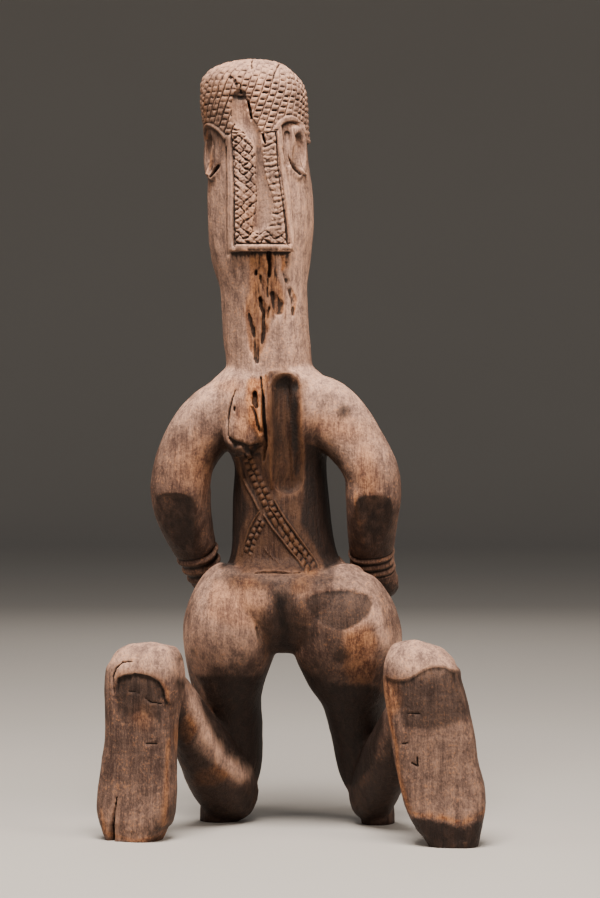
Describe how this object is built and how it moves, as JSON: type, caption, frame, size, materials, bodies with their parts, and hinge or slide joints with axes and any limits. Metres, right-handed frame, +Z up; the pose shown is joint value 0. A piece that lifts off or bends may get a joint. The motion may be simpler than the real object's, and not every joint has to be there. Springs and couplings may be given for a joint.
{
  "type": "carved kneeling figure",
  "caption": "Carved wooden kneeling figure with lattice-cut hair, scar bands and wrist rings, resting on its knees and toes.",
  "frame": {"origin": "on the floor under the middle of the figure's bounding box", "axes": "+Z up; the figure faces -Y, so its carved back and the soles of its feet face +Y"},
  "size_m": [0.3196, 0.1896, 0.6513],
  "materials": {
    "old_wood": "dark carved hardwood with a dry grey-brown patina, worn pale on the crown and orange-brown in the cracks"
  },
  "bodies": {
    "root": {"kneeling_figure": "old_wood"}
  },
  "joints": []
}
